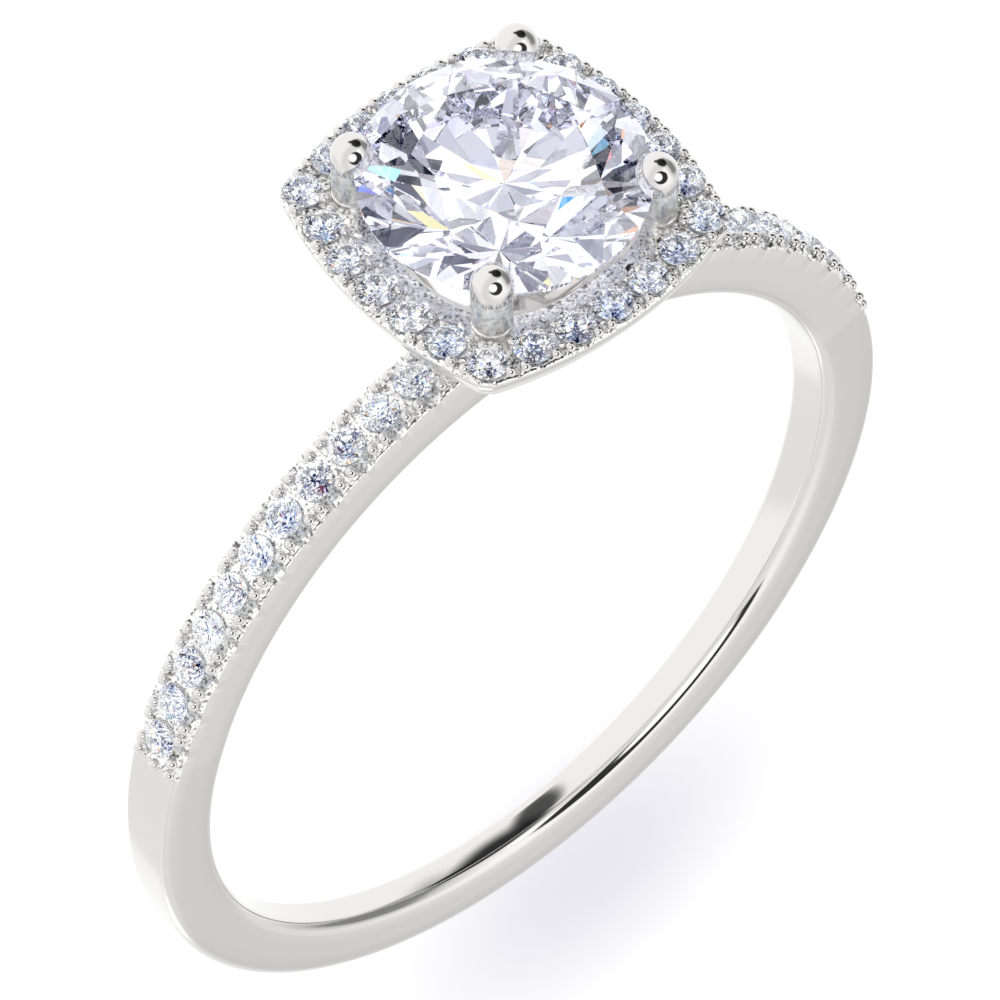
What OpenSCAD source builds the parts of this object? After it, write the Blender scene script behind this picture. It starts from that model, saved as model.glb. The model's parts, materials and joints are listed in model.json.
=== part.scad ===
// Cushion halo ring with a pavé shank, lying on its side.
// The ring is built upright: the finger goes through along Y, the centre stone faces up along Z,
// and the shoulders run along X. laid() then puts it on the surface as it rests by itself.

/* [Shank] */
// Diameter of the finger hole
bore_d = 17.3; // [14:0.1:22]
// Width of the shank along the finger, where it carries stones
shank_w = 1.4; // [1.3:0.05:2.2]
// Width of the shank at its bottom
shank_bottom_w = 0.85; // [0.82:0.01:1.3]
// Thickness of the shank, from the finger hole outwards
shank_t = 1.45; // [1.2:0.05:2.2]
// Rounding of the shank's two inner edges
inner_round = 0.3; // [0.1:0.05:0.5]
// Rounding of the shank's two outer edges along the stones
outer_round = 0.12; // [0.05:0.01:0.3]
// Rounding of the shank's two outer edges below the stones
plain_round = 0.2; // [0.1:0.05:0.4]

/* [Small stones] */
// Diameter of every small stone
melee_d = 0.86; // [0.7:0.02:1]
// Clear space between neighbouring stones of a shoulder
melee_gap = 0.14; // [0.1:0.01:0.4]
// Least clear space between neighbouring stones of the halo
halo_gap = 0.12; // [0.1:0.01:0.4]
// Number of stones on each shoulder
shoulder_stones = 11; // [1:1:14]
// Angle from the top of the ring to the first stone of a shoulder
shoulder_start = 14.2; // [12:0.1:20]
// Radius of the metal beads that hold the small stones
bead_r = 0.14; // [0.1:0.01:0.16]
// Radius of the cut in the side wall beside each small stone
side_cut_r = 0.26; // [0.2:0.01:0.3]
// Clear space between a stone and the metal round it
seat_gap = 0.02; // [0.01:0.005:0.04]

/* [Halo] */
// How far the halo plate's sides stand out past the centre stone, at their upper edge
halo_margin = 0.85; // [0.7:0.01:1.3]
// Radius of the bow in each side of the halo plate
halo_bow_r = 9.5; // [8:0.1:14]
// How far each corner of the halo plate is rounded off
corner_off = 0.07; // [0.02:0.01:0.1]
// Thickness of the halo plate
halo_t = 0.87; // [0.7:0.01:1.2]
// How far the plate's side leans in from its upper to its lower edge
halo_lean = 0.29; // [0.1:0.01:0.4]
// From the plate's upper edge in to the middle of the stones
line_inset = 0.49; // [0.48:0.01:0.6]
// Height of the halo plate's underside above the shank
halo_lift = 2.75; // [2.3:0.05:4]

/* [Centre stone] */
// Diameter of the centre stone
centre_d = 6.24; // [5.8:0.02:6.6]
// Height of the centre stone's girdle above the halo plate
centre_lift = 0.98; // [0.8:0.02:1.6]
// Radius of the round tips of the claws
claw_tip_r = 0.46; // [0.36:0.01:0.55]
// Radius of the claws below their tips
claw_r = 0.42; // [0.3:0.01:0.5]

/* [Basket] */
// Radius of the four wires below the halo
wire_r = 0.38; // [0.25:0.01:0.45]
// Radius of the wire of the gallery rail
rail_r = 0.28; // [0.2:0.01:0.35]

/* [Hidden] */
$fn = 128;

// Cut of a round brilliant, as shares of its diameter, and angles in degrees
table_share = 0.57;
crown_angle = 34.5;
pavilion_angle = 40.75;
girdle_share = 0.025;
// Reach of the star facets and of the lower girdle facets, as shares of the way across
star_share = 0.5;
lower_share = 0.77;

metal = [0.83, 0.83, 0.84];
stone = [0.88, 0.90, 0.97];

bore_r = bore_d / 2;
shank_r = bore_r + shank_t;
melee_r = melee_d / 2;
centre_r = centre_d / 2;

// The small stones' girdles stand this far above the metal that they sit in
girdle_proud = 0.06;
// How deep the side cuts reach below the metal's upper surface
side_cut_depth = 0.17;
// Where a pair of beads stands: either side of the middle between two stones
bead_step = 0.17;

shoulder_pitch = 2 * asin((melee_d + melee_gap) / 2 / (shank_r + girdle_proud));
// Metal between a bead and the edge beside it, on a shoulder and on the halo
shoulder_bead_edge = 0.08;
halo_bead_edge = 0.02;
shoulder_bead_y = shank_w / 2 - bead_r - shoulder_bead_edge;
// The shank narrows from the end of its stones down to its bottom
taper_top_z = shank_r * cos(shoulder_start + (shoulder_stones - 0.5) * shoulder_pitch);

plate_bottom = shank_r + halo_lift;
plate_top = plate_bottom + halo_t;
plate_half = centre_r + halo_margin;
line_half = plate_half - line_inset;
line_bow_r = halo_bow_r - line_inset;
line_corner = bow_corner(line_half, line_bow_r);
plate_corner = bow_corner(plate_half, halo_bow_r) * sqrt(2);
side_steps = floor(2 * line_corner / (melee_d + halo_gap));
side_step = 2 * line_corner / side_steps;
halo_bead_out = line_inset - bead_r - halo_bead_edge;

// How far the claws stand outside the centre stone's girdle, and how far their tips rise above it
claw_out = 0.04;
claw_rise = 0.4;
centre_girdle = plate_top + centre_lift;
claw_off = centre_r / sqrt(2) + claw_out;
claw_tip_z = centre_girdle + claw_rise;

// The dish inside the halo's stones slopes down at 45 degrees and leaves a thin rim round its hole
dish_wall = 0.1;
dish_rim = 0.17;
dish_r = line_half - melee_r - dish_wall;
dish_depth = halo_t - dish_rim;
dish_hole_r = dish_r - dish_depth;

// Feet of the basket wires on the shank and how deep they sink into it; the rail is halfway up
foot_x = 1.1;
foot_sink = 0.45;
foot_y = shank_w / 2 - wire_r;
foot_z = shank_r - foot_sink;
wire_top_z = plate_bottom + halo_t / 2;
rail_share = 0.5;
rail_z = wire_top_z + (foot_z - wire_top_z) * rail_share;
rail_path_r = norm([claw_off, claw_off] + ([foot_x, foot_y] - [claw_off, claw_off]) * rail_share);

// Lean of the ring at rest, on the upper edge of the halo plate and the bottom of the shank
rest_lean = atan2(plate_half - shank_bottom_w / 2, plate_top + shank_r);
rest_z = plate_half * cos(rest_lean) - plate_top * sin(rest_lean);
table_z = centre_girdle + centre_r * (girdle_share + (1 - table_share) * tan(crown_angle));
far_end = max(table_z * cos(rest_lean) + centre_r * table_share * sin(rest_lean),
    claw_tip_z * cos(rest_lean) + claw_off * sin(rest_lean) + claw_tip_r);
near_end = shank_r * cos(rest_lean) + shank_bottom_w / 2 * sin(rest_lean);

// Corner of a square whose sides bow outwards, along one of its axes
function bow_corner(half, bow_r) = ((half - bow_r) + sqrt(2 * bow_r * bow_r - pow(half - bow_r, 2))) / 2;
// Distance of a bowed side from the middle, at a distance t along the side
function bow_at(half, bow_r, t) = half - bow_r + sqrt(bow_r * bow_r - t * t);

function ring_points(r, z, count, turn = 0) = [for (i = [0 : count - 1])
    [r * cos(turn + i * 360 / count), r * sin(turn + i * 360 / count), z]];

// Puts the upright ring on its side, on the surface and over the origin
module laid() {
    translate([0, (near_end - far_end) / 2, rest_z])
    rotate([rest_lean - 90, 0, 0])
    children();
}

// Places its child on the shank, at an angle from the top towards +X, with Z pointing outwards
module on_shank(angle, r) {
    rotate([0, angle, 0]) translate([0, 0, r]) children();
}

// Places its child at every small stone of the halo, with X pointing outwards
module at_halo_stones() {
    for (side = [0 : 3], i = [0 : side_steps - 1]) {
        t = -line_corner + i * side_step;
        rotate([0, 0, side * 90])
        translate([bow_at(line_half, line_bow_r, t), t, plate_top])
        rotate([0, 0, i == 0 ? -45 : asin(t / line_bow_r)])
        children();
    }
}

// Places its child midway between neighbouring stones of the halo, with X pointing outwards
module at_halo_gaps() {
    for (side = [0 : 3], i = [0 : side_steps - 1]) {
        t = -line_corner + (i + 0.5) * side_step;
        rotate([0, 0, side * 90])
        translate([bow_at(line_half, line_bow_r, t), t, plate_top])
        rotate([0, 0, asin(t / line_bow_r)])
        children();
    }
}

// Round brilliant of radius r, its girdle's middle at the origin and its table upwards
module brilliant(r) {
    half_girdle = r * girdle_share;
    table_r = r * table_share;
    crown = tan(crown_angle);
    pavilion = tan(pavilion_angle);
    star_r = r * (table_share * cos(22.5) * (1 - star_share) + star_share);
    lower_r = r * (1 - lower_share);
    points = concat(
        ring_points(table_r, half_girdle + (r - table_r) * crown, 8),
        ring_points(star_r, half_girdle + (r - star_r * cos(22.5)) * crown, 8, 22.5),
        ring_points(r, half_girdle, 16),
        ring_points(r, -half_girdle, 16),
        ring_points(lower_r, -half_girdle - (r - lower_r * cos(22.5)) * pavilion, 8, 22.5),
        [[0, 0, -half_girdle - r * pavilion]]);
    star = 8;
    upper = 16;
    lower = 32;
    deep = 48;
    culet = 56;
    faces = concat(
        [[for (i = [7 : -1 : 0]) i]],
        [for (i = [0 : 7]) [i, (i + 1) % 8, star + i]],
        [for (i = [0 : 7]) [i, star + i, upper + 2 * i, star + (i + 7) % 8]],
        [for (i = [0 : 7]) [star + i, upper + 2 * i + 1, upper + 2 * i]],
        [for (i = [0 : 7]) [star + i, upper + (2 * i + 2) % 16, upper + 2 * i + 1]],
        [for (i = [0 : 15]) [upper + i, upper + (i + 1) % 16, lower + (i + 1) % 16, lower + i]],
        [for (i = [0 : 7]) [lower + 2 * i, lower + 2 * i + 1, deep + i]],
        [for (i = [0 : 7]) [lower + 2 * i + 1, lower + (2 * i + 2) % 16, deep + i]],
        [for (i = [0 : 7]) [lower + 2 * i, deep + i, culet, deep + (i + 7) % 8]]);
    polyhedron(points, faces);
}

// Small stone of radius r with a table, 8 crown and 8 pavilion facets
module small_stone(r) {
    half_girdle = r * girdle_share;
    points = concat(
        ring_points(r * table_share, half_girdle + r * (1 - table_share) * tan(crown_angle), 8),
        ring_points(r, half_girdle, 8),
        ring_points(r, -half_girdle, 8),
        [[0, 0, -half_girdle - r * tan(pavilion_angle)]]);
    faces = concat(
        [[for (i = [7 : -1 : 0]) i]],
        [for (i = [0 : 7]) [i, (i + 1) % 8, 8 + (i + 1) % 8, 8 + i]],
        [for (i = [0 : 7]) [8 + i, 8 + (i + 1) % 8, 16 + (i + 1) % 8, 16 + i]],
        [for (i = [0 : 7]) [16 + i, 16 + (i + 1) % 8, 24]]);
    polyhedron(points, faces);
}

// Hollow for a stone of radius r, open upwards for a height above its girdle
module seat(r, above) {
    wall_r = r + seat_gap;
    low = -r * girdle_share - seat_gap;
    deep = wall_r * tan(pavilion_angle);
    translate([0, 0, low]) cylinder(h = above - low, r = wall_r);
    translate([0, 0, low - deep]) cylinder(h = deep, r1 = 0, r2 = wall_r);
}

module pair_of_beads(along) {
    for (s = [-1, 1]) translate(s * bead_step * along) sphere(r = bead_r, $fn = 24);
}

module shank_section(outer_edge) {
    flank = shank_w / 2;
    translate([bore_r, 0]) {
        translate([inner_round, -flank]) square([shank_t - inner_round - outer_edge, shank_w]);
        translate([0, inner_round - flank]) square([shank_t / 2, shank_w - 2 * inner_round]);
        translate([shank_t / 2, outer_edge - flank]) square([shank_t / 2, shank_w - 2 * outer_edge]);
        for (s = [-1, 1]) {
            translate([inner_round, s * (flank - inner_round)]) circle(r = inner_round, $fn = 48);
            translate([shank_t - outer_edge, s * (flank - outer_edge)]) circle(r = outer_edge, $fn = 32);
        }
    }
}

// Keeps the part of the whole hoop that its side view, a child, covers
module hoop_within(outer_edge) {
    intersection() {
        rotate([90, 0, 0]) rotate_extrude() shank_section(outer_edge);
        rotate([90, 0, 90]) linear_extrude(height = 4 * shank_r, center = true) children();
    }
}

// As wide as its stones need above, then narrowing to its bottom
module shank() {
    beyond = shank_r + shank_t;
    bottom = shank_bottom_w / 2 - (shank_w - shank_bottom_w) / 2 * shank_t / (taper_top_z + shank_r);
    hoop_within(outer_round) translate([-shank_w, taper_top_z]) square([2 * shank_w, beyond]);
    hoop_within(plain_round)
    polygon([[-shank_w / 2, taper_top_z], [-bottom, -beyond], [bottom, -beyond], [shank_w / 2, taper_top_z]]);
}

module shoulder_beads() {
    for (side = [-1, 1], i = [0 : shoulder_stones]) {
        angle = side * (shoulder_start + (i - 0.5) * shoulder_pitch);
        on_shank(angle, shank_r)
        for (s = [-1, 1]) translate([0, s * shoulder_bead_y, 0]) pair_of_beads([1, 0, 0]);
    }
}

module shoulder_cuts() {
    for (side = [-1, 1], i = [0 : shoulder_stones - 1]) {
        on_shank(side * (shoulder_start + i * shoulder_pitch), shank_r) {
            translate([0, 0, girdle_proud]) seat(melee_r, 2 * bead_r);
            translate([0, 0, side_cut_r - side_cut_depth])
            rotate([90, 0, 0]) cylinder(h = shank_w + 2 * bead_r, r = side_cut_r, center = true);
        }
    }
}

// Cushion outline by four leaning cones, with its corners taken off by a fifth
module halo_plate() {
    corner_r = plate_corner - corner_off;
    translate([0, 0, plate_bottom])
    difference() {
        intersection() {
            intersection_for (side = [0 : 3])
            rotate([0, 0, side * 90]) translate([plate_half - halo_bow_r, 0, 0])
            cylinder(h = halo_t, r1 = halo_bow_r - halo_lean, r2 = halo_bow_r);
            cylinder(h = halo_t, r1 = corner_r - halo_lean, r2 = corner_r);
        }
        translate([0, 0, halo_t - dish_depth]) cylinder(h = dish_depth + 1, r1 = dish_hole_r, r2 = dish_r + 1);
        translate([0, 0, -1]) cylinder(h = halo_t + 2, r = dish_hole_r);
    }
}

module halo_beads() {
    at_halo_gaps() {
        translate([halo_bead_out, 0, 0]) pair_of_beads([0, 1, 0]);
        translate([-halo_bead_out, 0, 0]) pair_of_beads([0, 1, 0]);
    }
}

module halo_cuts() {
    at_halo_stones() {
        translate([0, 0, girdle_proud]) seat(melee_r, 2 * bead_r);
        translate([0, 0, side_cut_r - side_cut_depth])
        rotate([0, 90, 0]) cylinder(h = line_inset + bead_r, r = side_cut_r);
    }
}

// Round bar from one point to another
module bar(from, to, r) {
    run = to - from;
    translate(from)
    rotate([0, acos(run[2] / norm(run)), atan2(run[1], run[0])])
    cylinder(h = norm(run), r = r, $fn = 32);
}

module claws_and_basket() {
    for (sx = [-1, 1], sy = [-1, 1]) {
        bend = [sx * claw_off, sy * claw_off, wire_top_z];
        bar(bend, [sx * claw_off, sy * claw_off, claw_tip_z], claw_r);
        translate([sx * claw_off, sy * claw_off, claw_tip_z]) sphere(r = claw_tip_r, $fn = 48);
        bar([sx * foot_x, sy * foot_y, foot_z], bend, wire_r);
    }
    translate([0, 0, rail_z]) rotate_extrude() translate([rail_path_r, 0]) circle(r = rail_r, $fn = 32);
}

// Room for the centre stone with its gap, which notches the claws
module centre_room() {
    // A claw's flanks meet the flat facets a little further out than its middle does
    r = (centre_r + seat_gap) / cos(asin(claw_tip_r / norm([claw_off, claw_off])));
    half_girdle = centre_r * girdle_share + seat_gap;
    crown = (r - centre_r * table_share) * tan(crown_angle);
    translate([0, 0, centre_girdle]) {
        translate([0, 0, half_girdle]) cylinder(h = crown, r1 = r, r2 = centre_r * table_share);
        translate([0, 0, -half_girdle]) cylinder(h = 2 * half_girdle, r = r);
        translate([0, 0, -half_girdle - r * tan(pavilion_angle)])
        cylinder(h = r * tan(pavilion_angle), r1 = 0, r2 = r);
    }
}

module setting() {
    color(metal) laid() difference() {
        union() {
            shank();
            shoulder_beads();
            halo_plate();
            halo_beads();
            claws_and_basket();
        }
        shoulder_cuts();
        halo_cuts();
        centre_room();
    }
}

module centre_stone() {
    color(stone) laid() translate([0, 0, centre_girdle]) brilliant(centre_r);
}

module halo_stones() {
    color(stone) laid() at_halo_stones() translate([0, 0, girdle_proud]) small_stone(melee_r);
}

module shoulder_stones_on(side) {
    color(stone) laid() for (i = [0 : shoulder_stones - 1])
    on_shank(side * (shoulder_start + i * shoulder_pitch), shank_r + girdle_proud) small_stone(melee_r);
}

module left_shoulder_stones() {
    shoulder_stones_on(-1);
}

module right_shoulder_stones() {
    shoulder_stones_on(1);
}

setting();
centre_stone();
halo_stones();
left_shoulder_stones();
right_shoulder_stones();
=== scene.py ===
"""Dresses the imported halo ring: white gold in four finishes, brilliant cut stones and a white studio.

The metal and the stones are built in the ring's own axes: the finger goes through along Y, the centre
stone faces up along Z and the shoulders run along X. ring_to_row() then lays them where the frame says.
Lengths are in metres and written as so many MM. Angles are in radians, unless a comment says degrees.
"""

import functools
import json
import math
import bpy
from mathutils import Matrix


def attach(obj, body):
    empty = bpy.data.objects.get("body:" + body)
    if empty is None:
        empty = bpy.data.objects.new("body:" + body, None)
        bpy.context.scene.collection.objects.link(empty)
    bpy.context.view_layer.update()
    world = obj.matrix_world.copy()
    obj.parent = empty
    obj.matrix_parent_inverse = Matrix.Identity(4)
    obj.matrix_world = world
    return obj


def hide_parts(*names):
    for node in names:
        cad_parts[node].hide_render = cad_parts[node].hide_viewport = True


bl_info = {
    "name": "Halo Ring",
    "version": (1, 0, 0),
    "blender": (4, 5, 0),
    "location": "3D View > Sidebar > Halo Ring",
    "description": "Builds a cushion halo ring with a pave shank, its stones and its studio",
    "category": "Add Mesh",
}

import bmesh
import bpy
import numpy as np
from mathutils import Matrix, Vector

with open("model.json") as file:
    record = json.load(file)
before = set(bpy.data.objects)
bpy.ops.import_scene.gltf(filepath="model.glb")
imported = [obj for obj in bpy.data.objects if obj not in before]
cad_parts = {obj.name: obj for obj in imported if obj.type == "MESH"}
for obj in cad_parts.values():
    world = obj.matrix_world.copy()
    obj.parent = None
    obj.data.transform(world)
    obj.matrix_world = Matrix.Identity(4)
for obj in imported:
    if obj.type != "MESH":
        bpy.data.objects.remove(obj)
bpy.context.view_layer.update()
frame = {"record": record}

MM = 0.001
BODY = "root"
METAL_SLOT = "white_gold"
STONE_SLOT = "gemstone"

# How finely the meshes are divided: the shank's steps for each stone and round its plain part, then
# the steps of its section.
STONE_STEPS, PLAIN_STEPS = 26, 181
EDGE_STEPS, TOP_STEPS, INNER_STEPS = 6, 33, 8
FLANK_SHARES = (0.35, 0.7)
# The points along each side of the halo, the rows of its upper face, its ledge, its dish, its lower edge
# and its skirt, and where the rows of its underside lie from the hole outwards.
OUTLINE_STEPS, TOP_ROWS, LEDGE_ROWS, DISH_ROWS = 150, 30, 6, 8
EDGE_ROWS, SKIRT_ROWS = 6, 9
UNDER_SHARES = (0, 0.3, 0.65, 1)
# A claw's steps up its post and over its tip, and its sides.
POST_STEPS, TIP_STEPS, CLAW_SIDES = 14, 12, 56
# The sides of the shape that notches the claws, and of the stones' girdles.
ROOM_SIDES, CENTRE_SIDES, SMALL_SIDES = 128, 192, 64
# Edges that turn by more than so many degrees are sharp, and 0 shades a piece flat.
METAL_CREASE, BEAD_CREASE, FLAT = 40, 60, 0


def length(name, description, default_mm):
    """A length property that is given in millimetres and kept in metres."""
    return bpy.props.FloatProperty(
        name=name, description=description, default=default_mm * MM, unit="LENGTH", precision=5, min=0.0
    )


def angle(name, description, default_degrees):
    return bpy.props.FloatProperty(
        name=name, description=description, default=math.radians(default_degrees), subtype="ANGLE"
    )


def share(name, description, default):
    return bpy.props.FloatProperty(name=name, description=description, default=default, min=0.0, max=1.0)


def linear(hex_colour):
    """An sRGB hex colour as linear red, green, blue and alpha."""
    channels = [int(hex_colour.lstrip("#")[i : i + 2], 16) / 255 for i in (0, 2, 4)]
    return tuple(c / 12.92 if c <= 0.04045 else ((c + 0.055) / 1.055) ** 2.4 for c in channels) + (1.0,)


def colour(name, description, hex_colour):
    return bpy.props.FloatVectorProperty(
        name=name, description=description, default=linear(hex_colour), subtype="COLOR", size=4, min=0, max=1
    )


class RingShank(bpy.types.PropertyGroup):
    bore_radius: length("Bore radius", "Radius of the finger hole", 8.65)
    thickness: length("Thickness", "From the finger hole outwards", 1.45)
    width: length("Width", "Along the finger, where the shank carries stones", 1.4)
    bottom_width: length("Bottom width", "Along the finger, at the bottom of the shank", 0.9)
    inner_round: length("Inner rounding", "Rounding of the two inner edges", 0.27)
    outer_round: length("Outer rounding", "Rounding of the two outer edges along the stones", 0.1)
    bottom_round: length("Bottom rounding", "Rounding of the two outer edges at the bottom of the shank", 0.3)
    dome: length("Dome", "How far the outer face falls off towards its edges", 0.02)


class RingStones(bpy.types.PropertyGroup):
    melee_radius: length("Small stone radius", "Radius of every small stone", 0.43)
    proud: length("Proud", "How far the small stones' girdles stand above the metal", 0.06)
    seat_clearance: length("Seat clearance", "Room between a stone and the metal that holds it", 0.02)
    shoulder_count: bpy.props.IntProperty(
        name="Shoulder stones", description="Number of stones on each shoulder", default=11, min=1
    )
    shoulder_start: angle("Shoulder start", "From the top of the ring to a shoulder's first stone", 14.2)
    shoulder_pitch: length("Shoulder pitch", "Distance between neighbouring stones of a shoulder", 1.0)
    side_count: bpy.props.IntProperty(
        name="Halo stones a side", description="Stones on a side of the halo, one corner included", default=6
    )
    bead_radius: length("Bead radius", "Radius of the beads that hold the small stones", 0.135)
    bead_step: length("Bead step", "From the middle between two stones to each bead of a pair", 0.17)
    bead_inset: length("Bead inset", "Metal between the shank's side and its beads", 0.08)
    split_half: length("Split half width", "Half the width of the split between the beads of a pair", 0.05)
    split_depth: length("Split depth", "Depth of the split between the beads of a pair", 0.09)
    cut_radius: length("Side cut radius", "Radius of the cut in the wall beside each small stone", 0.26)
    cut_depth: length("Side cut depth", "Depth of that cut below the metal's upper surface", 0.17)
    end_bead: length("End bead", "From a row's last pair of beads to the single bead that ends it", 0.28)
    end_start: length("End cut start", "From a row's last stone to the slanted cut that ends the row", 0.4)
    end_length: length("End cut length", "Length of that cut, along the shank", 0.42)
    end_half: length("End cut half width", "Half the width of that cut, at its start", 0.36)
    end_depth: length("End cut depth", "Depth of that cut, at its start", 0.2)
    centre_radius: length("Centre stone radius", "Radius of the centre stone", 3.12)
    table: share("Table", "Table width as a share of the stone's", 0.57)
    crown: angle("Crown angle", "Slope of the crown's main facets", 34.5)
    pavilion: angle("Pavilion angle", "Slope of the pavilion's main facets", 40.75)
    girdle: share("Girdle", "Half the girdle's thickness as a share of the stone's radius", 0.025)
    star: share("Star facets", "How far the star facets reach from the table to the girdle", 0.5)
    lower: share("Lower facets", "How far the lower girdle facets reach from the girdle to the point", 0.77)


class RingHead(bpy.types.PropertyGroup):
    half_width: length("Halo half width", "From the middle to a side of the halo, at its upper edge", 3.97)
    bow_radius: length("Bow radius", "Radius of the bow in each side of the halo", 9.5)
    line_inset: length("Line inset", "From the halo's upper edge in to the middle of its stones", 0.49)
    corner_off: length("Corner rounding", "How far each corner of the halo is rounded off", 0.07)
    edge_round: length("Edge rounding", "Rounding of the halo plate's upper and lower edges", 0.1)
    plate_thickness: length("Plate thickness", "Thickness of the halo plate", 0.87)
    lean: length("Skirt lean", "How far the skirt leans in from its upper to its lower edge", 0.29)
    lift: length("Lift", "From the shank up to the underside of the halo plate", 2.75)
    bead_inset: length("Bead inset", "Metal between the halo's upper edge and its beads", 0.02)
    cut_depth: length("Side cut depth", "Depth of the shallower cut beside each stone of the halo", 0.06)
    dish_wall: length("Dish wall", "Metal between the small stones and the dish", 0.1)
    dish_rim: length("Dish rim", "Thickness of the metal round the hole of the dish", 0.17)
    dish_bow: length("Dish bow", "How far the dish's upper edge draws in behind the sides of the halo", 0.28)
    centre_lift: length("Centre lift", "From the halo plate up to the centre stone's girdle", 0.98)
    claw_out: length("Claw offset", "How far a claw stands outside the centre stone, along each side", 0.04)
    claw_rise: length("Claw rise", "From the centre stone's girdle up to the middle of a claw's tip", 0.4)
    claw_radius: length("Claw radius", "Radius of the claws at their feet", 0.43)
    collar: length("Collar", "Height of the low collar round each claw's foot", 0.16)
    tip_radius: length("Tip radius", "Radius of the round tips of the claws", 0.46)
    wire_radius: length("Wire radius", "Radius of the four wires of the basket", 0.38)
    rail_radius: length("Rail radius", "Radius of the wire of the gallery rail", 0.28)
    foot_x: length("Foot distance", "From the middle of the shank to the foot of a wire", 1.1)
    foot_sink: length("Foot sink", "How deep a wire's foot sinks into the shank", 0.45)


class RingLooks(bpy.types.PropertyGroup):
    gold: colour("White gold", "Colour of the polished metal", "#E3E2E1")
    floor: colour("Floor", "Colour of the frost on the clear sheet", "#F2F2F4")
    # The colour of the painted shadow on the sheet, at its middle.
    shadow: colour("Shadow", "Colour of the sheet at the middle of the ring's soft shadow", "#E2E0E9")
    gem_tint: colour("Stone tint", "Colour of light through the centre stone", "#FCFCFE")
    small_tint: colour("Small stone tint", "Colour of light through the rim of a small stone", "#FFFFFF")


class RingStudio(bpy.types.PropertyGroup):
    aim: bpy.props.FloatVectorProperty(
        name="Aim", description="Point the camera looks at", default=(1.024 * MM, -1.409 * MM, 0.748 * MM),
        unit="LENGTH",
    )
    distance: length("Distance", "From the camera to the point it looks at", 300.0)
    azimuth: angle("Azimuth", "Of the camera round the ring, from in front", -151.64)
    elevation: angle("Elevation", "Of the camera above the floor", 34.87)
    roll: angle("Roll", "Of the camera about its own axis", 128.67)
    lens: bpy.props.FloatProperty(name="Lens", description="Focal length on a 36 mm sensor", default=500.2)


def ring_to_row():
    """From the ring's own axes to the row frame, read from the finger hole's mount."""
    (bore,) = [m for m in frame["record"]["mounts"] if m["name"] == "finger_bore"]
    across = Vector((1, 0, 0))
    finger = Vector(bore["axis"]).normalized()
    up = across.cross(finger).normalized()
    turn = Matrix((across, finger, up)).transposed().to_4x4()
    return Matrix.Translation(bore["pos_m"]) @ turn


TO_ROW = ring_to_row()


def add_piece(name, points, faces, material, slot, nodes, crease, worked=()):
    """worked holds further materials, each with a test that says which faces, by their number, take it.
    """
    mesh = bpy.data.meshes.new(name)
    mesh.from_pydata([tuple(p) for p in points], [], [tuple(f) for f in faces])
    mesh.transform(TO_ROW)
    mesh.update()
    piece = bpy.data.objects.new(name, mesh)
    bpy.context.scene.collection.objects.link(piece)
    outward(mesh)
    if crease:
        smooth_to(mesh, crease)
    mesh.materials.append(material)
    for i, (other, takes) in enumerate(worked):
        mesh.materials.append(other)
        for face in mesh.polygons:
            if takes(face.index):
                face.material_index = i + 1
    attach(piece, BODY)
    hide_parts(*nodes)
    return piece


def smooth_to(mesh, crease):
    """Shades a mesh smooth, but for edges that turn by more than crease degrees."""
    mesh.shade_smooth()
    mesh.set_sharp_from_angle(angle=math.radians(crease))


def outward(mesh):
    """Turns every closed shell's faces outwards."""
    shell = bmesh.new()
    shell.from_mesh(mesh)
    bmesh.ops.recalc_face_normals(shell, faces=shell.faces)
    shell.to_mesh(mesh)
    shell.free()


def joined(parts):
    """Several lists of points and faces as one."""
    points, faces = [], []
    for more_points, more_faces in parts:
        start = len(points)
        points.extend(more_points)
        faces.extend([start + i for i in face] for face in more_faces)
    return points, faces


def placed(shape, matrix):
    points, faces = shape
    return [matrix @ p for p in points], faces


def turned(x, y, by):
    return x * math.cos(by) - y * math.sin(by), x * math.sin(by) + y * math.cos(by)


def ring_faces(rows, columns):
    """Quads of a grid of points that is closed along its rows and its columns."""
    faces = []
    for i in range(rows):
        for j in range(columns):
            i2, j2 = (i + 1) % rows, (j + 1) % columns
            faces.append((i * columns + j, i * columns + j2, i2 * columns + j2, i2 * columns + j))
    return faces


def smooth_step(x):
    x = np.clip(x, 0, 1)
    return x * x * (3 - 2 * x)


def seat_height(along, across, g, cut_depth):
    """Height of the metal round one small stone: its seat and the cut beside it."""
    wall = g.melee_radius + g.seat_clearance
    rim = g.proud - g.melee_radius * g.girdle - g.seat_clearance
    reach = np.hypot(along, across)
    seat = np.where(reach < wall, rim - (wall - reach) * math.tan(g.pavilion), np.inf)
    chord = np.clip(g.cut_radius**2 - along**2, 0, None)
    cut = np.where(chord > 0, g.cut_radius - cut_depth - np.sqrt(chord), np.inf)
    return np.minimum(seat, cut)


def split_height(along, g):
    """Height of the metal in the fine split between the two beads of a pair."""
    off = np.abs(along) / g.split_half
    return np.where(off < 1, -g.split_depth * (1 - off), np.inf)


def end_cut_height(past_last, across, g):
    """Height of the metal in the slanted, pointed cut that ends a row of stones."""
    run = (past_last - g.end_start) / g.end_length
    if not 0 <= run <= 1:
        return np.full_like(across, np.inf)
    point = 0.45  # its width at the far end, as a share of the width at its start
    half = g.end_half * (1 - (1 - point) * run)
    return np.where(np.abs(across) < half, -g.end_depth * (1 - run), np.inf)


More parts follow.
